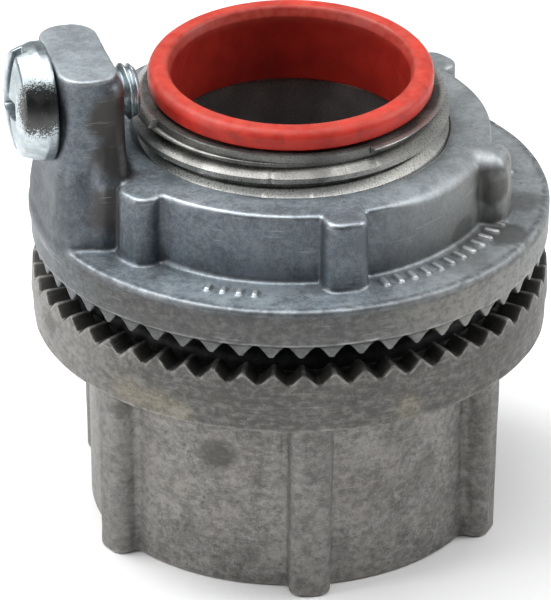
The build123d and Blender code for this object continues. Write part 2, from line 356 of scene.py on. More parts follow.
def facing_out(points, quads):
    """The quads, turned over if they enclose a negative volume."""
    a, b, c, d = (points[quads[:, n]] for n in range(4))
    volume = (a * np.cross(b, c)).sum() + (a * np.cross(c, d)).sum()
    return quads if volume > 0 else quads[:, ::-1]


def placed(name, data):
    """A new object in the scene for a mesh, lamp or camera."""
    thing = bpy.data.objects.new(name, data)
    bpy.context.scene.collection.objects.link(thing)
    return thing


def mesh_object(name, points, quads, faces=None, sharp=48):
    """A mesh object from millimetre points, thinned to a number of triangles and then put in metres."""
    quads = facing_out(points, quads)
    mesh = bpy.data.meshes.new(name)
    mesh.vertices.add(len(points))
    mesh.vertices.foreach_set("co", points.astype(np.float32).ravel())
    mesh.loops.add(quads.size)
    mesh.loops.foreach_set("vertex_index", quads.astype(np.int32).ravel())
    mesh.polygons.add(len(quads))
    mesh.polygons.foreach_set("loop_start", np.arange(0, quads.size, 4, dtype=np.int32))
    mesh.update(calc_edges=True)
    piece = placed(name, mesh)
    if faces and 2 * len(quads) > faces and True:
        thin = piece.modifiers.new("thin", "DECIMATE")
        thin.ratio = faces / (2 * len(quads))
        graph = bpy.context.evaluated_depsgraph_get()
        thinned = bpy.data.meshes.new_from_object(piece.evaluated_get(graph))
        piece.modifiers.clear()
        piece.data = thinned
        bpy.data.meshes.remove(mesh)
        mesh = thinned
        mesh.name = name
    mesh.transform(Matrix.Scale(MM, 4))
    mesh.shade_smooth()
    mesh.set_sharp_from_angle(angle=math.radians(sharp))
    mesh.update()
    return piece


def skin(mesh):
    """Every vertex's place, in millimetres, and its normal."""
    place, normal = (np.empty(len(mesh.vertices) * 3, np.float32) for _ in range(2))
    mesh.vertices.foreach_get("co", place)
    mesh.vertex_normals.foreach_get("vector", normal)
    return place.reshape(-1, 3) / MM, normal.reshape(-1, 3)


def weather(piece, depth, seed):
    """Give a casting's skin the slight waves that it has, except at its foot."""
    mesh = piece.data
    place, normal = skin(mesh)
    draw = np.random.default_rng(seed)
    wave = np.zeros(len(place))
    for _ in range(WAVES):
        direction = draw.normal(size=3)
        direction *= TURN / (np.linalg.norm(direction) * draw.uniform(*WAVE_LENGTHS))
        wave += np.sin(place @ direction + draw.uniform(0, TURN))
    wave *= depth / math.sqrt(WAVES / 2) * smooth(place[:, 2], 0.1, 1.5)
    place = (place + normal * wave[:, None]) * MM
    mesh.vertices.foreach_set("co", place.astype(np.float32).ravel())
    mesh.update()
    return piece


def round_grid(field, r, z):
    """Points and quads of a field on the angle, radius and height grid."""
    (theta, radius, height), quads = net(field, (THETA, r, z), True)
    return np.stack([radius * np.sin(theta), -radius * np.cos(theta), height], 1), quads


def swept(angles, r, z):
    """Points, and quads as rows by places by corners, of closed sections that stand at angles about Z."""
    points = np.stack([r * np.sin(angles)[:, None], -r * np.cos(angles)[:, None], z], -1).reshape(-1, 3)
    around, n = r.shape
    row, place = np.meshgrid(np.arange(around), np.arange(n), indexing="ij")
    next_row, next_place = (row + 1) % around, (place + 1) % n
    corners = [row * n + place, next_row * n + place, next_row * n + next_place, row * n + next_place]
    return points, np.stack(corners, -1)


def turned(name, outline, around, pieces):
    """A solid of revolution about Z from an outline with fillets."""
    section = np.tile(rounded(outline, pieces), (around, 1, 1))
    points, quads = swept(np.arange(around) * TURN / around, section[:, :, 0], section[:, :, 1])
    return mesh_object(name, points, quads.reshape(-1, 4))


def rib_field(r, angle, front, half_width, corner):
    """Six radial ribs whose front's radius and half width are given for each height."""
    off = away_from(angle, RIB_SPACING)[:, None]
    across = (r[None, :] * np.sin(off))[:, :, None]
    outward = (r[None, :] * np.cos(off))[:, :, None]
    return rounded_box(across, outward - (front - RIB_HALF_DEPTH), half_width, RIB_HALF_DEPTH, corner)


def cut_teeth(field, r, z, near, surface, slope, blend):
    """Cut the rim to a height for each angle. The slope is negative for teeth that point down."""
    part = np.ix_(EVERY_ANGLE, r > TOOTH_RING_R - 0.35, near)
    teeth = (z[near][None, None, :] - surface[:, None, None]) * slope
    field[part] = overlap(field[part], np.broadcast_to(teeth, field[part].shape), blend)


def cut_bore(field, r, inner, threaded, radius):
    """Cut a hole whose radius is given for each angle and height."""
    part = np.ix_(EVERY_ANGLE, inner, threaded)
    field[part] = np.maximum(field[part], (radius[:, None, :] - r[inner][None, :, None]) * 0.8)


# ================ hub ================

HUB_OUTLINE = [
    (CONDUIT_MOUTH_R, 0, 0.2),
    (BARREL_FOOT_R, 0, 0.3),
    (BARREL_TOP_R, FLANGE_BOTTOM_Z, 0.6),
    (FLANGE_BOTTOM_R, FLANGE_BOTTOM_Z, 0.35),
    (BELT_R - 0.1, BELT_Z - 0.3, 0.1),
    (BELT_R, BELT_Z, 0.1),
    (HUB_TIP_R, HUB_TIP_Z, 0.1),
    (TOOTH_RING_R, HUB_TIP_Z, 0.1),
    (TOOTH_RING_R, HUB_FACE_Z, 0.2),
    (GROOVE_OUTER_R, HUB_FACE_Z, 0.1),
    (GROOVE_OUTER_R, GROOVE_FLOOR_Z, 0.3),
    (GROOVE_INNER_R, GROOVE_FLOOR_Z, 0.3),
    (GROOVE_INNER_R, HUB_FACE_Z, 0.1),
    (PIPE_MAJOR_R, HUB_FACE_Z, 0.4),
    (PIPE_MAJOR_R, THREAD_FOOT_Z + 0.3, 0.2),
    (NIPPLE_CORE_R, THREAD_FOOT_Z + 0.3, 0),
    (NIPPLE_CORE_R, HUB_TOP - 0.05, 0),
    (LINER_SEAT_R, HUB_TOP - 0.05, 0),
    (LINER_SEAT_R, LINER_SEAT_Z, 0),
    (THROAT_R, LINER_SEAT_Z, 0.1),
    (THROAT_R, CONDUIT_DEPTH + STOP_RISE, 0.8),
    (CONDUIT_CREST_R, CONDUIT_DEPTH, 0.2),
    (CONDUIT_CREST_R, 1.5, 0),
]


def hub_rib_field(r, z):
    """Six drafted ribs with rounded fronts and feet."""
    heights = z[None, None, :]
    draft = HUB_RIB_DRAFT * (FLANGE_BOTTOM_Z - heights)
    half_width = HUB_RIB_HALF_WIDTH - draft * 0.5
    rib = rib_field(r, HUB_RIB_ANGLE, HUB_RIB_R - draft, half_width, HUB_RIB_CORNER)
    return overlap(rib, -heights, 0.3)


def conduit_thread_r(theta, z):
    """Radius of the tapered female thread: crests at its small radius, roots at its large one."""
    crest_r = CONDUIT_CREST_R + (CONDUIT_DEPTH - z) * CONDUIT_TAPER
    cut = 1 - ridge(theta, z, 0.4, PIPE_PITCH, CREST_HALF, FLANK)
    depth = PIPE_DEPTH * (1 - smooth(z, CONDUIT_DEPTH - 3.0, CONDUIT_DEPTH - 0.6))
    return crest_r + depth * cut + 0.7 * (1 - smooth(z, 0.0, 0.9))


def hub_field(r, z):
    field = np.repeat(outline_distance(rounded(HUB_OUTLINE), r, z)[None], len(THETA), 0)
    low, outer = z < FLANGE_BOTTOM_Z + 1.6, r > 14.0
    part = np.ix_(EVERY_ANGLE, outer, low)
    field[part] = join(field[part], hub_rib_field(r[outer], z[low]), 0.55)

    height, wear = tooth_height(HUB_TOOTH_ANGLE, SEEDS["hub teeth"])
    surface = HUB_TIP_Z - HUB_TOOTH_DEPTH * (1 - height) + wear
    cut_teeth(field, r, z, (z > FLANGE_BOTTOM_Z + 3.5) & (z < HUB_TIP_Z + 1), surface, 0.72, 0.1)

    mouth = z < CONDUIT_DEPTH
    cut_bore(field, r, (r > 11.4) & (r < 14.6), mouth, conduit_thread_r(THETA[:, None], z[mouth][None, :]))
    return np.maximum(field, -z[None, None, :])


def make_hub():
    r = spans((9.6, 11.4, HIDDEN_STEP), (11.4, BELT_R + 0.45, STEP))
    z = spans((-0.45, 3.0, STEP), (3.0, 16.5, HIDDEN_STEP), (16.5, 24.0, STEP), (24.0, 34.0, HIDDEN_STEP),
              (34.0, HUB_TOP + 0.45, STEP))
    points, quads = round_grid(hub_field(r, z), r, z)
    piece = mesh_object("hub_casting", points, quads, FACES["hub"])
    return weather(piece, HUB_WAVE_DEPTH, SEEDS["hub skin"])


def make_thread():
    """The nipple's helical thread as a closed sleeve whose edges follow the crests, with a few worn spots."""
    top = HUB_TOP - 0.45
    half_turn = (CREST_HALF - 0.04, CREST_HALF, CREST_HALF + FLANK)
    offsets = [-off for off in reversed(half_turn)] + list(half_turn)
    rows = []
    first = math.floor((THREAD_FOOT_Z - CREST_Z) / PIPE_PITCH) - 2
    for turn in range(first, first + math.ceil((HUB_TOP - THREAD_FOOT_Z) / PIPE_PITCH) + 4):
        rows += [CREST_Z + turn * PIPE_PITCH + off for off in offsets]
    compass = (np.degrees(THETA) + 180) % 360 - 180
    relieved = (compass > PILOT_WINDOW[0]) & (compass < PILOT_WINDOW[1])
    cut = np.where(relieved, HUB_TOP - PILOT_HEIGHT, HUB_TOP - 0.02)
    draw = np.random.default_rng(SEEDS["thread"])
    wear = np.zeros((len(rows), len(THETA)))
    for row in range(len(rows)):
        for _ in range(10):
            wear[row] += np.sin(THETA * draw.integers(3, 90) + draw.uniform(0, TURN))
    wear = 0.09 * smooth(wear, 3.0, 7.5)
    knocked = np.abs(np.array(rows) - NICK_Z) < 0.3
    wear += 0.22 * np.exp(-((compass - NICK_ANGLE) / 0.7) ** 2)[None, :] * knocked[:, None]
    wear *= smooth(np.abs(THETA - math.pi), 0.02, 0.15)
    columns_r, columns_z = [], []
    for row, height in enumerate(rows):
        z = np.clip(height + PIPE_PITCH * ((THETA + math.pi) % TURN - math.pi) / TURN, THREAD_FOOT_Z, cut)
        r = pipe_thread_r(THETA, z) - wear[row] * ((z > THREAD_FOOT_Z) & (z < cut))
        r = np.minimum(r, PIPE_MAJOR_R - np.maximum(z - top, 0) * 0.9)
        columns_r.append(r)
        columns_z.append(z)
    # the pilot above the relieved threads, the end face, and the hidden inside
    edge_r = np.where(relieved, PILOT_R, np.minimum(columns_r[-1], PIPE_MAJOR_R - 0.4))
    for radius, height in (
        (edge_r, cut), (edge_r, cut + (HUB_TOP - cut) * 0.85), (edge_r - 0.08, HUB_TOP),
        (SLEEVE_INNER_R, HUB_TOP), (SLEEVE_INNER_R, THREAD_FOOT_Z),
    ):
        columns_r.append(np.broadcast_to(radius, THETA.shape))
        columns_z.append(np.broadcast_to(height, THETA.shape))
    points, quads = swept(THETA, np.stack(columns_r, 1), np.stack(columns_z, 1))
    # every row starts a turn lower past the back, so one column of faces joins each row to the turn above
    back = int(np.searchsorted(THETA, math.pi)) - 1
    joined = len(rows) - 1 - len(offsets)
    quads[back, :joined, 1:3] += len(offsets)
    quads = np.concatenate([
        quads[:back].reshape(-1, 4), quads[back, :joined], quads[back, len(rows) - 1:],
        quads[back + 1:].reshape(-1, 4),
    ])
    piece = mesh_object("nipple_thread", points, quads, sharp=30)
    shell = bmesh.new()
    shell.from_mesh(piece.data)
    bmesh.ops.remove_doubles(shell, verts=shell.verts, dist=0.002 * MM)
    bmesh.ops.dissolve_degenerate(shell, edges=shell.edges, dist=0.002 * MM)
    shell.to_mesh(piece.data)
    shell.free()
    return piece


# ================ locknut ================

NUT_OUTLINE = [
    (NUT_BLANK_R, NUT_ROOT_Z, 0),
    (TOOTH_RING_R, NUT_ROOT_Z, 0.2),
    (TOOTH_RING_R, NUT_TIP_Z, 0.1),
    (NUT_TIP_R, NUT_TIP_Z, 0.1),
    (NUT_TIP_R + 0.12, NUT_ROOT_Z - 0.1, 0),
    (NUT_FLANGE_R - 0.05, NUT_ROOT_Z + 0.05, 0.1),
    (NUT_FLANGE_R, NUT_FLANGE_TOP, 0.42),
    (NUT_BOSS_R + 0.15, NUT_FLANGE_TOP, 0.45),
    (NUT_BOSS_R, NUT_BOSS_TOP + 2, 0),
    (NUT_BLANK_R, NUT_BOSS_TOP + 2, 0),
]


def nut_rib_field(r, z):
    """Six half-round grip ribs, before their tops are cut level with the boss."""
    draft = NUT_RIB_DRAFT * (NUT_BOSS_TOP - z[None, None, :])
    half_width = NUT_RIB_HALF_WIDTH + draft * 0.5
    return rib_field(r, NUT_RIB_ANGLE, NUT_RIB_R + draft, half_width, NUT_RIB_CORNER)


def lug_field(off, r, z):
    """Upright lug with rounded ends on a pad that widens to the flange's edge, with the screw's hole."""
    outward = (r[None, :] * np.cos(off)[:, None])[:, :, None]
    across = (r[None, :] * np.sin(off)[:, None])[:, :, None]
    heights = z[None, None, :]
    depth = LUG_TOP - heights
    inner = 0.6 * smooth(depth, 0.1, 2.0)
    half_depth = LUG_HALF_DEPTH + (inner + 0.012 * depth) / 2
    half_width = LUG_HALF_WIDTH + 0.03 * depth
    post = rounded_box(outward - LUG_MIDDLE_R + inner / 2, across, half_depth, half_width, 2.25)
    post = overlap(post, heights - LUG_TOP, 0.22)
    reach = 21.72 - 0.95 * smooth(heights, 28.8, 33.4)
    half_width = LUG_HALF_WIDTH + 0.075 * depth
    pad = rounded_box(outward - (reach + PAD_BACK_R) / 2, across, (reach - PAD_BACK_R) / 2, half_width, 2.4)
    pad = overlap(pad, heights - 34.9, 2.6)
    pad = overlap(pad, r[None, :, None] - (NUT_FLANGE_R - 0.12) + 0 * heights, 0.4)
    grow = smooth(depth, 2.5, 9.5)
    front = 5.2 + WEB_REACH * grow
    middle, half_length = (front + 2.0) / 2, (front - 2.0) / 2
    web = rounded_box(outward - LUG_MIDDLE_R + 1.35, across - middle, 1.0 + 0.42 * grow, half_length, 0.75)
    web = overlap(web, heights - LUG_TOP + 1.5, 0.8)
    lug = join(join(post, pad, 1.6), web, 0.9)
    hole = np.hypot(across, heights - SCREW_Z) - (SCREW_R + SCREW_HOLE_GAP)
    return overlap(lug, -hole, 0.12)


def mark_field(r, z):
    """Low raised casting marks on the flange: a row of plain bars, and pips. They are not lettering."""
    field = np.full((len(THETA), len(r), len(z)), FAR_OFF, np.float32)
    bars = [(angle, 18.4, 0.72, 0.27) for angle in np.linspace(25, 70, 12)]
    bars += [(angle, 18.95, 0.55, 0.26) for angle in (-20.5, -16.5, -12.5, -8.5)]
    pips = [(angle, 18.9, 0.34, 0.34) for angle in (100.0, 104.5, 109.0)]
    for angle, radius, half_length, half_width in bars + pips:
        off = away_from(angle)
        rows = np.nonzero(np.abs(off) < math.radians(5))[0]
        outward = r[None, :] * np.cos(off[rows])[:, None] - radius
        across = r[None, :] * np.sin(off[rows])[:, None]
        plan = rounded_box(outward, across, half_length, half_width, 0.22)[:, :, None]
        bar = overlap(plan.astype(np.float32), (z - NUT_FLANGE_TOP - MARK_HEIGHT)[None, None, :], 0.15)
        field[rows] = np.minimum(field[rows], bar)
    return field


def nut_field(r, z):
    field = np.repeat(outline_distance(rounded(NUT_OUTLINE), r, z)[None], len(THETA), 0)
    side, boss = z > NUT_FLANGE_TOP - 1.5, r > 14.5
    part = np.ix_(EVERY_ANGLE, boss, side)
    field[part] = join(field[part], nut_rib_field(r[boss], z[side]), 0.5)
    # the boss and ribs end in one level top, whose edge is worn round between the front and right ribs
    compass = np.degrees(THETA)[:, None, None]
    edge = (0.5 + 1.6 * smooth(compass, 26, 48) * (1 - smooth(compass, 72, 86))).astype(np.float32)
    cap = np.broadcast_to((z[side] - NUT_BOSS_TOP)[None, None, :], field[:, :, side].shape)
    field[:, :, side] = overlap(field[:, :, side], cap, edge)

    off = away_from(LUG_ANGLE)
    rows = np.nonzero(np.abs(off) < math.radians(34))[0]
    wide, tall = r > 14.3, z > NUT_FLANGE_TOP - 1.5
    part = np.ix_(rows, wide, tall)
    field[part] = join(field[part], lug_field(off[rows], r[wide], z[tall]), 0.6)

    top, ring = (z > NUT_FLANGE_TOP - 0.5) & (z < NUT_FLANGE_TOP + 0.6), (r > 17.0) & (r < 20.6)
    part = np.ix_(EVERY_ANGLE, ring, top)
    field[part] = join(field[part], mark_field(r[ring], z[top]), 0.12)

    height, wear = tooth_height(NUT_TOOTH_ANGLE, SEEDS["nut teeth"])
    surface = NUT_ROOT_Z - (NUT_ROOT_Z - NUT_TIP_Z) * height - wear * 0.5
    cut_teeth(field, r, z, z < NUT_ROOT_Z + 0.7, surface, -0.68, 0.08)

    threaded = z < NUT_BOSS_TOP + 0.4
    heights = z[threaded][None, :]
    radius = pipe_thread_r(THETA[:, None], heights) + THREAD_GAP
    flare = 0.9 * smooth(heights, NUT_BOSS_TOP - 0.75, NUT_BOSS_TOP + 0.1)
    flare = flare + 0.9 * (1 - smooth(heights, NUT_ROOT_Z - 0.1, NUT_ROOT_Z + 0.8))
    radius = np.maximum(radius, PIPE_MAJOR_R - 0.9 + flare * 1.3)
    cut_bore(field, r, r < 14.4, threaded, radius)
    return field


def make_nut():
    r = spans((11.8, NUT_FLANGE_R + 0.45, STEP))
    z = spans((NUT_TIP_Z - 0.45, LUG_TOP + 0.45, STEP))
    points, quads = round_grid(nut_field(r, z), r, z)
    piece = mesh_object("locknut_casting", points, quads, FACES["nut"])
    return weather(piece, NUT_WAVE_DEPTH, SEEDS["nut skin"])


# ================ ground screw ================

SCREW_OUTLINE = [
    (0, -SCREW_LENGTH, 0),
    (SCREW_R - 0.5, -SCREW_LENGTH, 0.1),
    (SCREW_R, -SCREW_LENGTH + 0.5, 0),
    (SCREW_R, 0, 0.12),
    (HEAD_R, 0, 0.25),
    (HEAD_R, HEAD_RIM, 0.5),
    (HEAD_FACE_R, HEAD_FACE, 0.45),
    (3.0, 3.07, 0),
    (2.0, 3.25, 0),
    (1.0, 3.36, 0),
    (0, HEAD_HEIGHT, 0),
    (-1.0, 3.36, 0),
    (-1.0, -SCREW_LENGTH, 0),
]


def screw_field(x, y, z):
    """Screw along its own Z: x across the slot, y along it."""
    radius = np.hypot(x[:, None], y[None, :])
    reach = np.linspace(0, HEAD_R + 1, 700, dtype=np.float32)
    section = outline_distance(rounded(SCREW_OUTLINE), reach, z)
    column = np.clip(radius / reach[-1] * (len(reach) - 1), 0, len(reach) - 1.001)
    below = column.astype(int)
    share = (column - below)[:, :, None].astype(np.float32)
    field = section[below] * (1 - share) + section[below + 1] * share

    angle = np.arctan2(y[None, :], x[:, None])[:, :, None]
    heights = z[None, None, :]
    crest = ridge(angle, heights, -0.3, SCREW_PITCH, 0.07, 0.27)
    whole = smooth(heights, -SCREW_LENGTH - 0.4, -SCREW_LENGTH + 0.9) * (1 - smooth(heights, -0.75, -0.35))
    depth = SCREW_DEPTH * (1 - crest) * whole
    shank = (radius[:, :, None] - (SCREW_R - depth)) * 0.75
    below_head = heights < -0.02
    field = np.where(below_head, np.maximum(field, shank), field)

    slot = overlap(np.abs(x)[:, None, None] - SLOT_HALF_WIDTH + 0 * heights, SLOT_FLOOR - heights, 0.2)
    arm_reach = ARM_REACH - 0.35 * (HEAD_HEIGHT - heights)
    arm = rounded_box(x[:, None, None], y[None, :, None], arm_reach, ARM_HALF_WIDTH, 0.3)
    arm = overlap(arm, ARM_FLOOR - heights, 0.3)
    return overlap(field, -np.minimum(slot, arm), 0.14)


def make_screw():
    side = spans((-HEAD_R - 0.25, HEAD_R + 0.25, SCREW_STEP))
    z = spans((-SCREW_LENGTH - 0.3, HEAD_HEIGHT + 0.3, SCREW_STEP))
    (x, y, height), quads = net(screw_field(side, side, z).astype(np.float32), (side, side, z), False)
    turn, lean = math.radians(LUG_ANGLE), math.radians(SLOT_LEAN)
    out = np.array([math.sin(turn), -math.cos(turn), 0])
    along = np.array([math.cos(turn), math.sin(turn), 0])
    up = np.array([0, 0, 1])
    across_slot = along * math.cos(lean) + up * math.sin(lean)
    along_slot = up * math.cos(lean) - along * math.sin(lean)
    points = np.outer(x, across_slot) + np.outer(y, along_slot) + np.outer(height + SCREW_SEAT_R, out)
    points += up * SCREW_Z
    return mesh_object("ground_screw_steel", points, quads, FACES["screw"])


# ================ liner and seal ================

def make_liner():
    outline = [
        (LINER_BORE_R, LINER_LOW[2], 0.15),
        (LINER_OUTER_R, LINER_LOW[2], 0.1),
        (LINER_OUTER_R, LIP_FOOT_Z, 0.1),
        (LIP_R - 0.12, LIP_FOOT_Z, 0.2),
        (LIP_R, LINER_TOP, 0.8),
        (LINER_BORE_R + 0.35, LINER_TOP, 0.45),
        (LINER_BORE_R, LINER_TOP - 0.85, 0.5),
        (LINER_BORE_R, (LINER_LOW[2] + LINER_HIGH[2]) / 2, 0),
    ]
    liner = turned("red_insulating_throat", outline, 300, 8)
    for corner in liner.data.vertices:
        height = corner.co.z / MM
        raised = min(max((height - HUB_TOP) / (LIP_FOOT_Z - HUB_TOP), 0), 1)
        corner.co.z += corner.co.y * LIP_TILT * raised
    return liner


def make_ring():
    middle = (RING_LOW[2] + RING_HIGH[2]) / 2
    half = (RING_HIGH[2] - RING_LOW[2]) / 2 - 0.02
    centre_r = RING_HIGH[0] - (RING_HIGH[2] - RING_LOW[2]) / 2
    outline = [
        (centre_r - half, middle - half, 0.8),
        (centre_r + half, middle - half, 0.8),
        (centre_r + half, middle + half, 0.8),
        (centre_r - half, middle + half, 0.8),
    ]
    return turned("face_sealing_ring", outline, 200, 6)


hub = make_hub()
thread = make_thread()
nut = make_nut()
screw = make_screw()
liner = make_liner()
ring = make_ring()

for piece, body, node, slot in (
    (hub, "hub", "hub_body", "hub_zinc"),
    (liner, "hub", "insulating_throat", "red_plastic"),
    (ring, "wall_seal", "sealing_ring", "seal_rubber"),
    (nut, "locknut", "grounding_locknut", "nut_zinc"),
    (screw, "screw", "ground_screw", "plated_steel"),
):
    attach(piece, body)
    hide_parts(node)
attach(thread, "hub")


# ================ materials ================

class Shade:
    """A material's node tree, built with short calls. Lengths are in millimetres."""

    def __init__(self, name, metallic):
        self.made = bpy.data.materials.new(name)
        self.made.use_nodes = True
        self.tree = self.made.node_tree
        self.shader = self.tree.nodes["Principled BSDF"]
        self.shader.inputs["Metallic"].default_value = metallic
        where = self.tree.nodes.new("ShaderNodeTexCoord").outputs["Object"]
        self.place = self.vector("SCALE", where, scale=1 / MM)
        self.x, self.y, self.z = self.split(self.place)
        self.radius = self.math("SQRT", self.add(self.mul(self.x, self.x), self.mul(self.y, self.y)))
        self.colour = None

    def paint(self, mask, share, colour):
        """Lay a colour over what there is, as strongly as the mask and the share say."""
        self.colour = self.mix(mask if share == 1 else self.mul(mask, share), self.colour, colour)

    def put(self, socket, value):
        if isinstance(value, bpy.types.NodeSocket):
            self.tree.links.new(value, socket)
        elif isinstance(value, tuple) and len(value) == 3 and len(socket.default_value) == 4:
            socket.default_value = (*value, 1)
        else:
            socket.default_value = value

    def math(self, operation, a, b=0.0):
        node = self.tree.nodes.new("ShaderNodeMath")
        node.operation = operation
        self.put(node.inputs[0], a)
        self.put(node.inputs[1], b)
        return node.outputs[0]

    def add(self, a, b):
        return self.math("ADD", a, b)

    def mul(self, a, b):
        return self.math("MULTIPLY", a, b)

    def both(self, *masks):
        result = masks[0]
        for mask in masks[1:]:
            result = self.mul(result, mask)
        return result

    def invert(self, mask):
        return self.math("SUBTRACT", 1.0, mask)

    def vector(self, operation, a, b=(0, 0, 0), scale=1.0):
        node = self.tree.nodes.new("ShaderNodeVectorMath")
        node.operation = operation
        self.put(node.inputs[0], a)
        if operation == "SCALE":
            self.put(node.inputs[3], scale)
        else:
            self.put(node.inputs[1], b)
        return node.outputs["Value" if operation == "DISTANCE" else "Vector"]

    def split(self, a):
        node = self.tree.nodes.new("ShaderNodeSeparateXYZ")
        self.put(node.inputs[0], a)
        return node.outputs

    def noise(self, size, detail=4.0, rough=0.55, stretch=(1, 1, 1), shift=0.0, colour=False):
        """Noise whose features are about size millimetres across."""
        node = self.tree.nodes.new("ShaderNodeTexNoise")
        scaled = self.vector("MULTIPLY", self.place, tuple(1 / (size * s) for s in stretch))
        self.put(node.inputs["Vector"], self.vector("ADD", scaled, (shift, shift * 0.7, shift * 1.3)))
        self.put(node.inputs["Scale"], 1.0)
        self.put(node.inputs["Detail"], detail)
        self.put(node.inputs["Roughness"], rough)
        return node.outputs["Color" if colour else "Fac"]

    def cells(self, size, shift=0.0):
        """Distance from scattered points about size millimetres apart."""
        node = self.tree.nodes.new("ShaderNodeTexVoronoi")
        scaled = self.vector("SCALE", self.place, scale=1 / size)
        self.put(node.inputs["Vector"], self.vector("ADD", scaled, (shift, shift, shift)))
        self.put(node.inputs["Scale"], 1.0)
        return node.outputs["Distance"]

    def compass(self):
        """Compass angle in radians, from -pi to pi."""
        return self.math("ARCTAN2", self.x, self.mul(self.y, -1.0))

    def zone(self, **limits):
        """A mask with a smooth step along each of the named coordinates: x, y, z or radius."""
        return self.both(*(self.step(getattr(self, along), *ends) for along, ends in limits.items()))

    def blotches(self, limits, *noise, **more):
        """Noise through a smooth step whose limits are given first."""
        return self.step(self.noise(*noise, **more), *limits)

    def step(self, value, low, high, start=0.0, end=1.0):
        """Smooth step from start, at low, to end, at high."""
        node = self.tree.nodes.new("ShaderNodeMapRange")
        node.interpolation_type = "SMOOTHSTEP"
        self.put(node.inputs["Value"], value)
        for name, number in (("From Min", low), ("From Max", high), ("To Min", start), ("To Max", end)):
            self.put(node.inputs[name], number)
        return node.outputs["Result"]

    def mix(self, share, a, b, blend="MIX"):
        node = self.tree.nodes.new("ShaderNodeMix")
        node.data_type, node.blend_type = "RGBA", blend
        self.put(node.inputs[0], share)
        self.put(node.inputs[6], a)
        self.put(node.inputs[7], b)
        return node.outputs[2]

    def blend(self, share, a, b):
        """a where share is 0, b where it is 1, for plain numbers."""
        node = self.tree.nodes.new("ShaderNodeMix")
        node.data_type = "FLOAT"
        self.put(node.inputs[0], share)
        self.put(node.inputs[2], a)
        self.put(node.inputs[3], b)
        return node.outputs[0]

    def mark(self, name):
        """A number stored on the mesh's corners, such as how worn an edge is."""
        node = self.tree.nodes.new("ShaderNodeAttribute")
        node.attribute_name = name
        return node.outputs["Fac"]

    def patch(self, angle, radius, height, size, ragged=0.35, soft=0.5):
        """1 in a ragged patch round a compass angle, radius and height on the surface, 0 outside."""
        turn = math.radians(angle)
        centre = (radius * math.sin(turn), -radius * math.cos(turn), height)
        off = self.vector("SUBTRACT", self.noise(size * 0.8, 3.0, colour=True, shift=angle), (0.5, 0.5, 0.5))
        moved = self.vector("ADD", self.place, self.vector("SCALE", off, scale=size * ragged * 2.5))
        return self.step(self.vector("DISTANCE", moved, centre), size * (1 + soft / 2), size * (1 - soft / 2))

    def finish(self, roughness, bumps):
        """Put the colour, roughness and (height socket, strength, depth in mm) bumps on the shader."""
        self.put(self.shader.inputs["Base Color"], self.colour)
        self.put(self.shader.inputs["Roughness"], roughness)
        normal = None
        for height, strength, depth in bumps:
            node = self.tree.nodes.new("ShaderNodeBump")
            self.put(node.inputs["Height"], height)
            self.put(node.inputs["Strength"], strength)
            self.put(node.inputs["Distance"], depth * MM)
            if normal:
                self.put(node.inputs["Normal"], normal)
            normal = node.outputs["Normal"]
        if normal:
            self.put(self.shader.inputs["Normal"], normal)
        return self.made


def mark_edges(piece):
    """Store how convex (worn) and how concave the surface is at each point of a mesh; the concave mark
    darkens creases, as dirt and as painted shade.
    """
    mesh = piece.data
    count = len(mesh.vertices)
    place, normal = skin(mesh)
    ends = np.empty(len(mesh.edges) * 2, np.int32)
    mesh.edges.foreach_get("vertices", ends)
    a, b = ends.reshape(-1, 2).T
    step = place[b] - place[a]
    square = np.maximum((step * step).sum(1), 1e-4)
    bend = np.bincount(a, 2 * (normal[a] * step).sum(1) / square, count)
    bend -= np.bincount(b, 2 * (normal[b] * step).sum(1) / square, count)
    edges = np.maximum(np.bincount(a, minlength=count) + np.bincount(b, minlength=count), 1)
    bend /= edges
    bend = np.clip(bend, -3, 3)
    for _ in range(3):
        near = np.bincount(a, bend[b], count) + np.bincount(b, bend[a], count)
        bend = 0.5 * bend + 0.5 * near / edges
    for name, value in (("worn", smooth(-bend, 0.12, 1.1)), ("crease_dirt_and_shade", smooth(bend, 0.10, 0.9))):
        stored = mesh.attributes.new(name, "FLOAT", "POINT")
        stored.data.foreach_set("value", value.astype(np.float32))


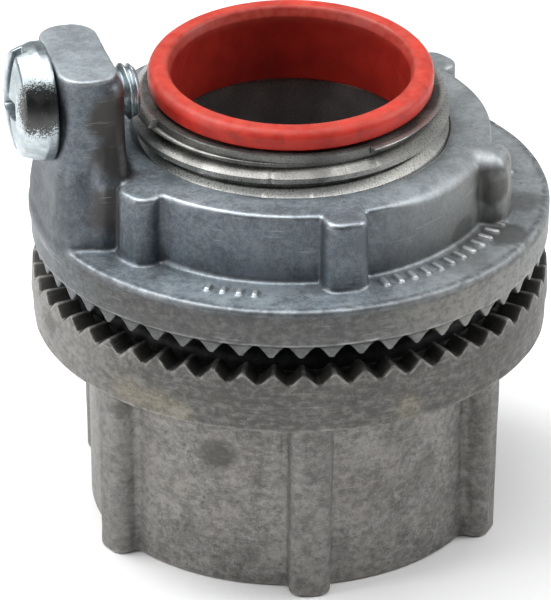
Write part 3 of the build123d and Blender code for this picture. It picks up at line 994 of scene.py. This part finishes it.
def zinc(name, dark, light, metallic):
    """Parts of the look that both castings share: a finely mottled skin, dots, rings and scratches."""
    shade = Shade(name, metallic)
    broad = shade.noise(7.0, 4.0, 0.6)
    middle = shade.noise(1.9, 6.0, 0.72, shift=4.0)
    fine = shade.noise(0.5, 5.0, 0.78, shift=6.0)
    grain = shade.noise(0.15, 3.0, 0.7, shift=9.0)
    tone = shade.add(shade.mul(broad, 0.22), shade.mul(middle, 0.26))
    tone = shade.add(tone, shade.add(shade.mul(fine, 0.32), shade.mul(grain, 0.20)))
    shade.colour = shade.mix(shade.step(tone, 0.42, 0.585), dark, light)
    shade.grain, shade.mottle = grain, middle
    scattered = shade.blotches((0.44, 0.60), 4.0, shift=7.0)
    shade.pits = shade.both(shade.step(shade.cells(1.1, 2.0), 0.20, 0.08), scattered)
    ring = shade.math("ABSOLUTE", shade.add(shade.cells(2.6, 5.0), -0.24))
    shade.rings = shade.step(ring, 0.10, 0.02)
    shade.rings = shade.both(shade.rings, shade.blotches((0.50, 0.62), 3.1, 3.0, shift=19.0))
    scratch = shade.blotches((0.58, 0.72), 0.20, 2.0, 0.5, (14.0, 14.0, 0.8), 23.0)
    shade.scratches = shade.both(scratch, shade.blotches((0.50, 0.62), 3.3, 3.0, shift=29.0))
    facing = shade.split(shade.tree.nodes.new("ShaderNodeTexCoord").outputs["Normal"])
    shade.upward = shade.step(facing[2], 0.25, 0.95)
    # the sides of the teeth face along the rim; they are painted dark, as painted shade in the gaps between
    # the teeth
    turned_to = shade.math("SUBTRACT", shade.mul(facing[1], shade.x), shade.mul(facing[0], shade.y))
    along_rim = shade.math("ABSOLUTE", shade.math("DIVIDE", turned_to, shade.radius))
    in_teeth = shade.both(shade.step(shade.z, 21.4, 22.0), shade.step(shade.z, NUT_ROOT_Z + 0.3, NUT_ROOT_Z))
    sideways, outer = shade.step(along_rim, 0.3, 0.6), shade.step(shade.radius, 19.4, 19.8)
    shade.tooth_side = shade.both(sideways, outer, in_teeth)
    return shade


def paint_light_by_facing(shade, share):
    """Painted light and shade: dim the skin's colour to a share on upright faces and make it brighter and
    bluer on level ones, as if lit from above.
    """
    upright = shade.mix(1.0, shade.colour, (share, share * 1.02, share * 1.05), "MULTIPLY")
    level = shade.mix(1.0, shade.colour, (1.62, 1.66, 1.68), "MULTIPLY")
    shade.colour = shade.mix(shade.upward, upright, level)


def nut_zinc():
    shade = zinc("nut_zinc", (0.120, 0.138, 0.155), (0.250, 0.278, 0.300), 0.75)
    # painted light on the nut's level faces and painted shade on its upright ones
    paint_light_by_facing(shade, 0.66)
    # rim of the flange and its teeth are duller and browner than the blue-grey top, and painted darker
    # towards the front as painted shade
    rim = shade.zone(radius=(21.0, 21.7), z=(NUT_FLANGE_TOP, NUT_FLANGE_TOP - 0.8))
    front = shade.step(shade.y, -8.0, -18.0, 0.1, 0.92)
    shade.paint(rim, front, (0.075, 0.074, 0.070))
    # painted light: the nut's right side is painted lighter and warmer
    right = shade.step(shade.x, 4.0, 16.0)
    shade.paint(right, 0.45, (0.34, 0.332, 0.305))
    # painted light on the lug's top face
    lug_top_painted_light = shade.step(shade.z, LUG_TOP - 0.5, LUG_TOP - 0.1)
    shade.paint(lug_top_painted_light, 0.28, (0.46, 0.48, 0.485))
    # dark patches: those on the lug's front (-58 to -55 degrees) are painted shade for a dark reflection, the
    # one on the right rib's left face (69.5) is painted shade, and those near the marks on the flange are
    # dirt
    for angle, radius, height, size, depth in (
        (66.0, 19.6, NUT_FLANGE_TOP, 2.0, 0.7), (-58.0, 17.1, 40.5, 2.3, 0.95), (-57.0, 17.3, 37.0, 2.4, 0.9),
        (-55.0, 17.6, 32.5, 2.6, 0.85), (69.5, 17.9, 32.5, 1.7, 0.7), (48.0, 19.8, NUT_FLANGE_TOP, 2.2, 0.3),
        (84.0, 19.6, NUT_FLANGE_TOP, 1.8, 0.45), (58.0, 17.2, 29.6, 1.5, 0.5),
    ):
        shade.paint(shade.patch(angle, radius, height, size), depth, (0.055, 0.050, 0.046))
    # painted shade: dark speckles along the flange's top edge break up its highlight
    edge = shade.zone(radius=(20.9, 21.4), z=(NUT_FLANGE_TOP - 1.0, NUT_FLANGE_TOP - 0.5))
    highlight_breaking_shade = shade.blotches((0.35, 0.65, 0.25, 0.75), 0.6, 4.0, shift=31.0)
    shade.paint(shade.both(edge, highlight_breaking_shade), 1, (0.085, 0.092, 0.098))
    flecks = shade.noise(0.7, 6.0, 0.70, (1.0, 1.0, 0.7), 43.0)
    shade.paint(shade.both(rim, shade.step(flecks, 0.46, 0.66)), 0.14, (0.34, 0.335, 0.32))
    shade.paint(shade.both(rim, shade.step(flecks, 0.54, 0.34)), 0.45, (0.045, 0.044, 0.042))
    # the raised marks' tops are painted lighter than the flange round them, a painted highlight
    compass = shade.compass()
    beside_ribs = shade.add(shade.step(compass, 0.38, 0.42), shade.step(compass, -0.10, -0.14))
    beside_ribs = shade.both(beside_ribs, shade.step(compass, 1.20, 1.16), shade.step(compass, -0.42, -0.38))
    above = shade.step(shade.z, NUT_FLANGE_TOP + 0.10, NUT_FLANGE_TOP + 0.2)
    below = shade.step(shade.z, NUT_FLANGE_TOP + 0.5, NUT_FLANGE_TOP + 0.4)
    raised = shade.both(above, below, shade.step(shade.radius, 17.5, 17.7))
    shade.paint(shade.both(beside_ribs, raised), 0.6, (0.62, 0.64, 0.65))
    worn, crease_dirt_and_shade = shade.mark("worn"), shade.mark("crease_dirt_and_shade")
    teeth = shade.step(shade.z, NUT_ROOT_Z + 0.3, NUT_ROOT_Z - 0.2, 1.0, 0.3)
    rough_worn = shade.both(worn, shade.blotches((0.28, 0.6), 1.1, 5.0, shift=3.0), teeth)
    shade.paint(rough_worn, 0.3, (0.55, 0.57, 0.58))
    # painted shade on the sides of the teeth
    shade.paint(shade.tooth_side, 0.75, (0.035, 0.035, 0.034))
    # creases painted darker in patches, partly dirt and partly painted shade
    patchy_dirt_and_shade = shade.mul(crease_dirt_and_shade, shade.blotches((0.25, 0.6, 0.35, 1.0), 1.6, 4.0, shift=13.0))
    shade.paint(patchy_dirt_and_shade, 0.4, (0.06, 0.06, 0.06))
    shade.paint(shade.pits, 0.4, (0.06, 0.06, 0.06))
    shade.paint(shade.scratches, 0.18, (0.6, 0.62, 0.63))
    roughness = shade.add(shade.step(shade.mottle, 0.3, 0.7, 0.38, 0.48), shade.mul(rough_worn, -0.05))
    for mask, more in ((right, 0.1), (lug_top_painted_light, 0.12), (edge, 0.08)):
        roughness = shade.add(roughness, shade.mul(mask, more))
    bumps = [
        (shade.noise(2.4, 3.0, shift=21.0), 0.4, 0.06), (shade.grain, 0.5, 0.03), (shade.pits, -0.5, 0.05),
        (shade.scratches, -0.3, 0.02),
    ]
    return shade.finish(roughness, bumps)


def hub_zinc():
    shade = zinc("hub_zinc", (0.120, 0.118, 0.112), (0.295, 0.287, 0.272), 0.62)
    warm = shade.blotches((0.42, 0.62), 3.4, 4.0, 0.6, shift=37.0)
    shade.paint(warm, 0.28, (0.245, 0.218, 0.198))
    # painted light: the hub's left side is painted lighter
    left_painted_light = shade.step(shade.x, -9.0, -16.0)
    shade.paint(left_painted_light, 0.35, (0.36, 0.352, 0.335))
    bruise = shade.blotches((0.53, 0.64), 2.2, 7.0, 0.72, shift=51.0)
    shade.paint(bruise, 0.42, (0.105, 0.102, 0.096))
    bare = shade.blotches((0.57, 0.68), 1.2, 6.0, 0.75, shift=57.0)
    shade.paint(bare, 0.35, (0.42, 0.415, 0.40))
    ribs = shade.zone(radius=(17.6, 18.4), z=(17.4, 16.8))
    shade.paint(ribs, 0.3, (0.10, 0.098, 0.093))
    # flange skin is darker than the barrel and is painted darker still away from its far left, partly its own
    # tone and partly painted shade; it is streaked along the rim, with yellowish patches low on it
    flange = shade.zone(radius=(19.6, 20.2), z=(16.8, 17.4))
    flange_dark_and_shade = shade.step(shade.x, -19.0, -11.0, 0.15, 0.82)
    shade.paint(flange, flange_dark_and_shade, (0.060, 0.0585, 0.055))
    streak = shade.blotches((0.42, 0.62), 0.8, 5.0, 0.7, (7.0, 7.0, 0.5), 61.0)
    shade.paint(shade.both(flange, streak), 0.2, (0.205, 0.198, 0.186))
    line = shade.both(flange, shade.blotches((0.60, 0.66), 0.5, 3.0, 0.6, (9.0, 9.0, 0.35), 67.0))
    line = shade.mul(line, shade.blotches((0.45, 0.6), 4.0, 2.0, shift=71.0))
    shade.paint(line, 0.5, (0.05, 0.048, 0.045))
    yellowish = ((-38.0, 18.7, 1.6), (-30.0, 18.6, 1.5), (-24.0, 18.3, 1.0), (27.0, 18.6, 1.2))
    for angle, height, size in yellowish:
        patch = shade.patch(angle, 21.9, height, size, 0.7, 1.4)
        patch = shade.both(patch, shade.step(shade.grain, 0.35, 0.6, 0.4, 1.0))
        shade.paint(patch, 0.5, (0.34, 0.305, 0.215))
    flecks = shade.noise(0.8, 6.0, 0.70, (1.0, 1.0, 0.7), 43.0)
    outside = shade.step(shade.radius, 16.0, 16.6, 0.0, 0.36)
    shade.paint(shade.both(outside, shade.step(flecks, 0.46, 0.66)), 0.7, (0.34, 0.33, 0.31))
    shade.paint(shade.both(outside, shade.step(flecks, 0.56, 0.34)), 1, (0.050, 0.048, 0.045))
    stains = (
        (-19.8, 17.1, 12.2, 1.4, 0.8), (-47.0, 18.9, 14.4, 1.1, 0.7), (42.0, 17.1, 9.0, 1.4, 0.4),
        (33.0, 17.2, 13.6, 2.0, 0.22), (-30.0, 17.1, 4.0, 1.3, 0.25), (-10.0, 17.1, 2.8, 0.9, 0.25),
        (58.0, 19.0, 11.0, 2.4, 0.35), (-66.0, 21.9, 20.5, 1.0, 0.55), (48.0, 21.95, 20.3, 1.6, 0.45),
        (58.0, 21.95, 20.6, 1.3, 0.45), (14.0, 17.1, 3.0, 1.4, 0.2), (-14.0, 17.1, 8.0, 0.8, 0.2),
    )
    for angle, radius, height, size, depth in stains:
        patch = shade.patch(angle, radius, height, size, 0.45, 0.9)
        shade.paint(patch, depth, (0.070, 0.068, 0.060))
    worn, crease_dirt_and_shade = shade.mark("worn"), shade.mark("crease_dirt_and_shade")
    rough_worn = shade.mul(worn, shade.blotches((0.35, 0.65), 0.9, 5.0, shift=3.0))
    shade.paint(rough_worn, 0.4, (0.50, 0.49, 0.46))
    # painted shade on the sides of the teeth
    shade.paint(shade.tooth_side, 0.75, (0.035, 0.034, 0.031))
    # creases painted darker in patches, partly dirt and partly painted shade
    patchy_dirt_and_shade = shade.mul(crease_dirt_and_shade, shade.blotches((0.2, 0.55, 0.3, 1.0), 1.6, 4.0, shift=13.0))
    shade.paint(patchy_dirt_and_shade, 0.6, (0.05, 0.05, 0.045))
    shade.paint(shade.math("MAXIMUM", shade.pits, shade.mul(shade.rings, 0.4)), 0.55, (0.07, 0.07, 0.062))
    shade.paint(shade.scratches, 0.14, (0.5, 0.49, 0.47))
    # the nipple is machined: brighter, smoother, with its thread's grooves painted dark, as dirt and as
    # painted shade
    nipple = shade.zone(z=(23.5, 24.5), radius=(15.0, 14.0))
    deep = shade.step(shade.radius, PIPE_MAJOR_R - 0.6, PIPE_MAJOR_R - 0.95)
    groove_dirt_and_shade = shade.mul(deep, shade.blotches((0.3, 0.6, 0.55, 1.0), 2.6, 4.0, shift=17.0))
    brushed = shade.noise(1.2, 5.0, 0.6, (2.5, 2.5, 0.4), 5.0)
    bright = shade.mix(brushed, (0.20, 0.198, 0.185), (0.56, 0.555, 0.52))
    for angle, height, size in (
        (-4.5, 37.0, 0.8), (11.5, 37.1, 0.9), (-38.0, 36.7, 1.1), (34.0, 38.0, 0.8), (-18.0, 36.8, 2.0),
        (6.0, 37.2, 1.8),
    ):
        smudge = shade.mul(shade.patch(angle, 12.9, height, size), 0.5)
        bright = shade.mix(smudge, bright, (0.075, 0.073, 0.069))
    # grooves painted dark: dirt and painted shade
    bright = shade.mix(shade.mul(groove_dirt_and_shade, 0.94), bright, (0.055, 0.053, 0.047))
    # on the front, the topmost thread's flank and crest are painted darker, as painted shade, and the thread
    # just above the locknut is painted bright, as a painted reflection
    unwound = shade.add(shade.z, shade.mul(shade.compass(), -PIPE_PITCH / TURN))
    topmost = shade.step(unwound, CREST_Z - 0.3, CREST_Z - 0.2)
    front_side = shade.step(shade.y, -1.0, -9.0)
    bright = shade.mix(shade.both(topmost, front_side, 0.4), bright, (0.12, 0.12, 0.118))
    thread_painted_highlight = shade.both(shade.invert(topmost), shade.step(shade.radius, 12.3, 12.5), front_side, 0.8)
    bright = shade.mix(thread_painted_highlight, bright, (0.92, 0.91, 0.87))
    shade.paint(nipple, 1, bright)
    # painted light: the inside of the bore is painted lighter
    inside = shade.step(shade.radius, 11.0, 10.6)
    shade.paint(inside, 0.5, (0.24, 0.23, 0.225))
    roughness = shade.step(shade.mottle, 0.3, 0.7, 0.46, 0.58)
    roughness = shade.blend(nipple, roughness, shade.step(shade.grain, 0.3, 0.7, 0.24, 0.36))
    turning = shade.noise(0.5, 2.0, 0.5, (8, 8, 0.25), 31.0)
    bumps = [
        (shade.noise(2.0, 3.0, shift=21.0), 0.5, 0.10), (shade.grain, 0.6, 0.04), (shade.pits, -0.8, 0.07),
        (shade.rings, -0.4, 0.03), (shade.scratches, -0.3, 0.02), (shade.mul(turning, nipple), 0.4, 0.03),
    ]
    return shade.finish(roughness, bumps)


def plated_steel():
    shade = Shade("plated_steel", 1.0)
    haze = shade.blotches((0.35, 0.65), 1.4, 5.0, 0.6)
    shade.colour = shade.mix(haze, (0.36, 0.415, 0.44), (0.54, 0.60, 0.62))
    # creases painted darker, partly dirt and partly painted shade
    shade.paint(shade.mark("crease_dirt_and_shade"), 0.15, (0.12, 0.13, 0.14))
    freckle = shade.blotches((0.52, 0.66), 0.28, 3.0, shift=6.0)
    freckle = shade.both(freckle, shade.blotches((0.42, 0.6), 2.2, shift=2.0))
    shade.paint(freckle, 0.5, (0.30, 0.30, 0.28))
    # painted reflection: a speckled dark patch on the screw head's rim stands for a dark reflection
    painted_dark_reflection = shade.patch(-63.5, 22.9, SCREW_Z + 1.4, 2.2, 0.2, 1.1)
    speckle = shade.mul(shade.add(shade.noise(0.13, 2.0, 0.6, shift=16.0), -0.5), 2.2)
    painted_dark_reflection = shade.step(shade.add(painted_dark_reflection, speckle), 0.35, 0.62)
    shade.paint(painted_dark_reflection, 0.92, (0.045, 0.042, 0.038))
    roughness = shade.blotches((0.3, 0.7, 0.30, 0.42), 0.7, 4.0, shift=8.0)
    fine, coarse = shade.noise(0.22, 3.0, 0.6, shift=12.0), shade.noise(1.6, 2.0, shift=15.0)
    return shade.finish(roughness, [(fine, 0.4, 0.02), (coarse, 0.4, 0.02)])


def red_plastic():
    shade = Shade("red_plastic", 0.0)
    shade.shader.inputs["Subsurface Weight"].default_value = 0.12
    shade.shader.inputs["Specular IOR Level"].default_value = 0.32
    shade.shader.inputs["Subsurface Scale"].default_value = 0.6 * MM
    shade.shader.inputs["Subsurface Radius"].default_value = (1.0, 0.25, 0.1)
    tone = shade.noise(2.6, 4.0, 0.6)
    shade.colour = shade.mix(shade.step(tone, 0.35, 0.65), (0.38, 0.016, 0.009), (0.52, 0.026, 0.013))
    # painted shade: the liner's inner wall is painted darker
    shade.paint(shade.step(shade.radius, 10.8, 10.2, 0.0, 0.5), 1, (0.17, 0.010, 0.007))
    # painted highlight: the lip's crest is painted a lighter orange in blotches
    crest = shade.step(shade.z, LINER_TOP - 1.3, LINER_TOP - 0.1)
    crest = shade.mul(crest, shade.blotches((0.3, 0.62, 0.3, 1.0), 0.9, 5.0, shift=3.0))
    shade.paint(crest, 0.4, (0.55, 0.12, 0.085))
    soot = shade.step(shade.radius, LIP_R - 0.55, LIP_R - 0.15)
    soot = shade.both(soot, shade.blotches((0.56, 0.72), 1.5, 5.0, shift=11.0))
    shade.paint(soot, 0.5, (0.16, 0.02, 0.015))
    roughness = shade.blotches((0.3, 0.7, 0.38, 0.52), 0.8, 4.0, shift=8.0)
    fine, coarse = shade.noise(0.35, 4.0, 0.6, shift=2.0), shade.noise(3.0, 2.0, shift=5.0)
    return shade.finish(roughness, [(fine, 0.35, 0.03), (coarse, 0.3, 0.12)])


def seal_rubber():
    shade = Shade("seal_rubber", 0.0)
    tone = shade.noise(0.8, 5.0)
    shade.colour = shade.mix(shade.step(tone, 0.4, 0.65), (0.010, 0.010, 0.010), (0.030, 0.030, 0.029))
    roughness = shade.blotches((0.3, 0.7, 0.55, 0.75), 0.5, 4.0, shift=8.0)
    return shade.finish(roughness, [(shade.noise(0.3, 4.0, shift=2.0), 0.4, 0.03)])


def floor_paper():
    shade = Shade("floor_paper", 0.0)
    shade.colour = shade.mix(shade.noise(30.0, 3.0), (0.93, 0.93, 0.93), (0.96, 0.96, 0.96))
    return shade.finish(0.9, [(shade.noise(0.8, 4.0), 0.2, 0.02)])


for piece, look in (
    (hub, hub_zinc), (nut, nut_zinc), (screw, plated_steel), (liner, red_plastic), (ring, seal_rubber),
):
    if piece in (hub, nut, screw):
        mark_edges(piece)
    piece.data.materials.append(look())
thread.data.materials.append(hub.data.materials[0])


# ================ floor, light and camera ================

# metres, degrees, and millimetres for the lens
FLOOR_SIZE = 3.0
CAMERA_DISTANCE = 0.504
CAMERA_ELEVATION = 28.6
CAMERA_TARGET = (-0.00118, 0, 0.01817)
CAMERA_ROLL = 0.31
FOCAL_LENGTH = 354.96           # on a sensor 36 mm along the frame's longer side


def floor():
    mesh = bpy.data.meshes.new("floor")
    half = FLOOR_SIZE / 2
    corners = [(-half, -half, 0), (half, -half, 0), (half, half, 0), (-half, half, 0)]
    mesh.from_pydata(corners, [], [(0, 1, 2, 3)])
    mesh.materials.append(floor_paper())
    placed("floor", mesh)


def area_light(name, place, target, size, energy):
    lamp = bpy.data.lights.new(name, "AREA")
    lamp.shape = "RECTANGLE"
    lamp.size, lamp.size_y = size
    lamp.energy = energy
    holder = placed(name, lamp)
    holder.location = place
    holder.rotation_euler = (Vector(target) - Vector(place)).to_track_quat("-Z", "Y").to_euler()


def studio():
    """Soft lamps above, on the left and on the right, and a world that is darker in front than behind."""
    area_light("key", (-0.30, 0.10, 0.50), (0, 0, 0.02), (0.35, 0.35), 2.6)
    area_light("left", (-0.45, -0.20, 0.22), (0, 0, 0.025), (0.12, 0.40), 0.9)
    area_light("right", (0.45, 0.05, 0.30), (0, 0, 0.02), (0.20, 0.35), 1.4)
    area_light("top", (0.0, -0.05, 0.65), (0, 0, 0), (0.6, 0.6), 3.1)
    world = bpy.data.worlds.new("studio")
    world.use_nodes = True
    nodes, links = world.node_tree.nodes, world.node_tree.links
    split = nodes.new("ShaderNodeSeparateXYZ")
    links.new(nodes.new("ShaderNodeTexCoord").outputs["Generated"], split.inputs[0])
    ramp = nodes.new("ShaderNodeMapRange")
    ramp.interpolation_type = "SMOOTHSTEP"
    links.new(split.outputs["Y"], ramp.inputs["Value"])
    for name, number in (("From Min", -0.6), ("From Max", 0.5), ("To Min", 0.08), ("To Max", 0.30)):
        ramp.inputs[name].default_value = number
    links.new(ramp.outputs["Result"], nodes["Background"].inputs["Strength"])
    nodes["Background"].inputs["Color"].default_value = (0.95, 0.975, 1.0, 1)
    bpy.context.scene.world = world
    bpy.context.scene.view_settings.view_transform = "Standard"


def camera():
    elevation = math.radians(CAMERA_ELEVATION)
    out, up = CAMERA_DISTANCE * math.cos(elevation), CAMERA_DISTANCE * math.sin(elevation)
    place = Vector((0, -out, CAMERA_TARGET[2] + up))
    lens = bpy.data.cameras.new("camera")
    lens.sensor_fit = "AUTO"
    lens.sensor_width = 36
    lens.lens = FOCAL_LENGTH
    lens.clip_start, lens.clip_end = 0.01, 10
    holder = placed("camera", lens)
    holder.location = place
    look = (Vector(CAMERA_TARGET) - place).to_track_quat("-Z", "Y").to_matrix().to_4x4()
    roll = Matrix.Rotation(math.radians(CAMERA_ROLL), 4, "Z")
    holder.matrix_world = Matrix.Translation(place) @ look @ roll
    bpy.context.scene.camera = holder


floor()
studio()
camera()
